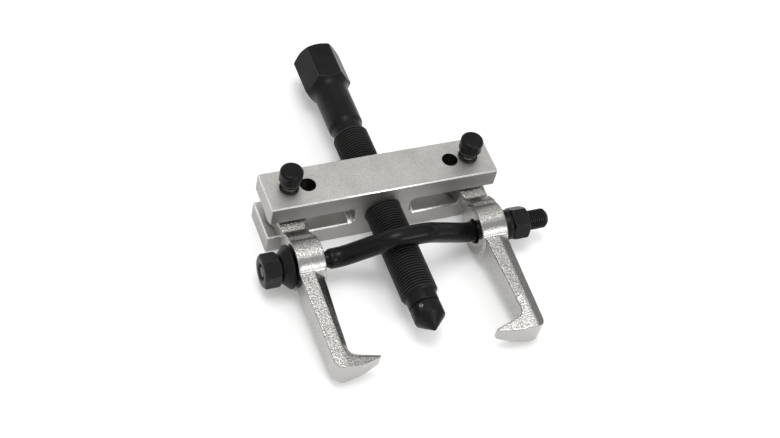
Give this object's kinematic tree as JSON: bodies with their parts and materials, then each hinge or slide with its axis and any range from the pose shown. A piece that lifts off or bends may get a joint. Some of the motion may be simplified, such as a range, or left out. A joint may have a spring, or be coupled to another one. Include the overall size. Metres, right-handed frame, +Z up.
{
  "type": "gear puller",
  "caption": "Bar-type gear puller: slotted steel crossbar, hex-headed forcing screw with pointed tip, hooked jaws on pull-out pins, and a bowed side bolt that clamps the jaws.",
  "frame": {"origin": "middle of the crossbar's underside, on which the puller lies", "axes": "+X along the crossbar to the right, +Y along the forcing screw towards its hexagon head, +Z up out of the pins' knobs"},
  "size_m": [0.1431, 0.1809, 0.0438],
  "materials": {
    "plated_steel": "satin plating over ground steel",
    "forged_steel": "bright plating over a rough forging",
    "black_oxide": "oiled black oxide",
    "bolt_black": "smooth satin black",
    "knob_black": "satin black",
    "ring_rubber": "matt",
    "hardened_steel": "ground"
  },
  "bodies": {
    "crossbar_body": {"crossbar": "plated_steel"},
    "tip_body": {"screw_tip": "black_oxide", "tip_retaining_pin": "hardened_steel", "thrust_ball": "hardened_steel"},
    "screw_body": {"forcing_screw": "black_oxide"},
    "left_jaw_body": {"left_jaw": "forged_steel"},
    "right_jaw_body": {"right_jaw": "forged_steel"},
    "side_bolt_body": {"side_bolt": "bolt_black", "left_cone_washer": "black_oxide", "left_nut": "black_oxide"},
    "right_washer_body": {"right_cone_washer": "black_oxide"},
    "right_nut_body": {"right_nut": "black_oxide"},
    "left_pin_body": {"left_pivot_pin": "hardened_steel", "left_pin_knob": "knob_black", "left_pin_ring": "ring_rubber"},
    "right_pin_body": {"right_pivot_pin": "hardened_steel", "right_pin_knob": "knob_black", "right_pin_ring": "ring_rubber"}
  },
  "joints": [
    {"name": "screw_travel", "type": "slide", "parent": "crossbar_body", "child": "tip_body", "axis": [0, -1, 0], "range_m": [-0.0455, 0.0265]},
    {"name": "screw_turn", "type": "hinge", "parent": "tip_body", "child": "screw_body", "pos_m": [0, 0, 0.0155], "axis": [0, -1, 0], "range_deg": [-11720, 6870]},
    {"name": "left_jaw_swing", "type": "hinge", "parent": "crossbar_body", "child": "left_jaw_body", "pos_m": [-0.04475, 0, 0.0155], "axis": [0, 0, 1], "range_deg": [-2.5, 3]},
    {"name": "right_jaw_swing", "type": "hinge", "parent": "crossbar_body", "child": "right_jaw_body", "pos_m": [0.04475, 0, 0.0155], "axis": [0, 0, 1], "range_deg": [-3, 2.5]},
    {"name": "side_bolt_pivot", "type": "hinge", "parent": "left_jaw_body", "child": "side_bolt_body", "pos_m": [-0.0456, -0.03095, 0.01372], "axis": [0, 0, 1], "range_deg": [-3, 2.5]},
    {"name": "clamp_travel", "type": "slide", "parent": "side_bolt_body", "child": "right_washer_body", "axis": [-1, 0, 0], "range_m": [-0.0027, 0.0032]},
    {"name": "right_nut_turn", "type": "hinge", "parent": "right_washer_body", "child": "right_nut_body", "pos_m": [0.062, -0.03095, 0.01372], "axis": [-1, 0, 0], "range_deg": [-900, 1080]},
    {"name": "left_pin_pull", "type": "slide", "parent": "crossbar_body", "child": "left_pin_body", "axis": [0, 0, 1], "range_m": [0, 0.034]},
    {"name": "right_pin_pull", "type": "slide", "parent": "crossbar_body", "child": "right_pin_body", "axis": [0, 0, 1], "range_m": [0, 0.034]}
  ],
  "couplings": [
    {"joint": "screw_turn", "follows": "screw_travel", "rad_per_m": 4452.7},
    {"joint": "clamp_travel", "follows": "right_nut_turn", "m_per_rad": 0.00016844},
    {"joint": "left_jaw_swing", "follows": "right_nut_turn", "ratio": 0.0027212},
    {"joint": "right_jaw_swing", "follows": "right_nut_turn", "ratio": -0.0027212},
    {"joint": "side_bolt_pivot", "follows": "right_nut_turn", "ratio": -0.0027212}
  ]
}
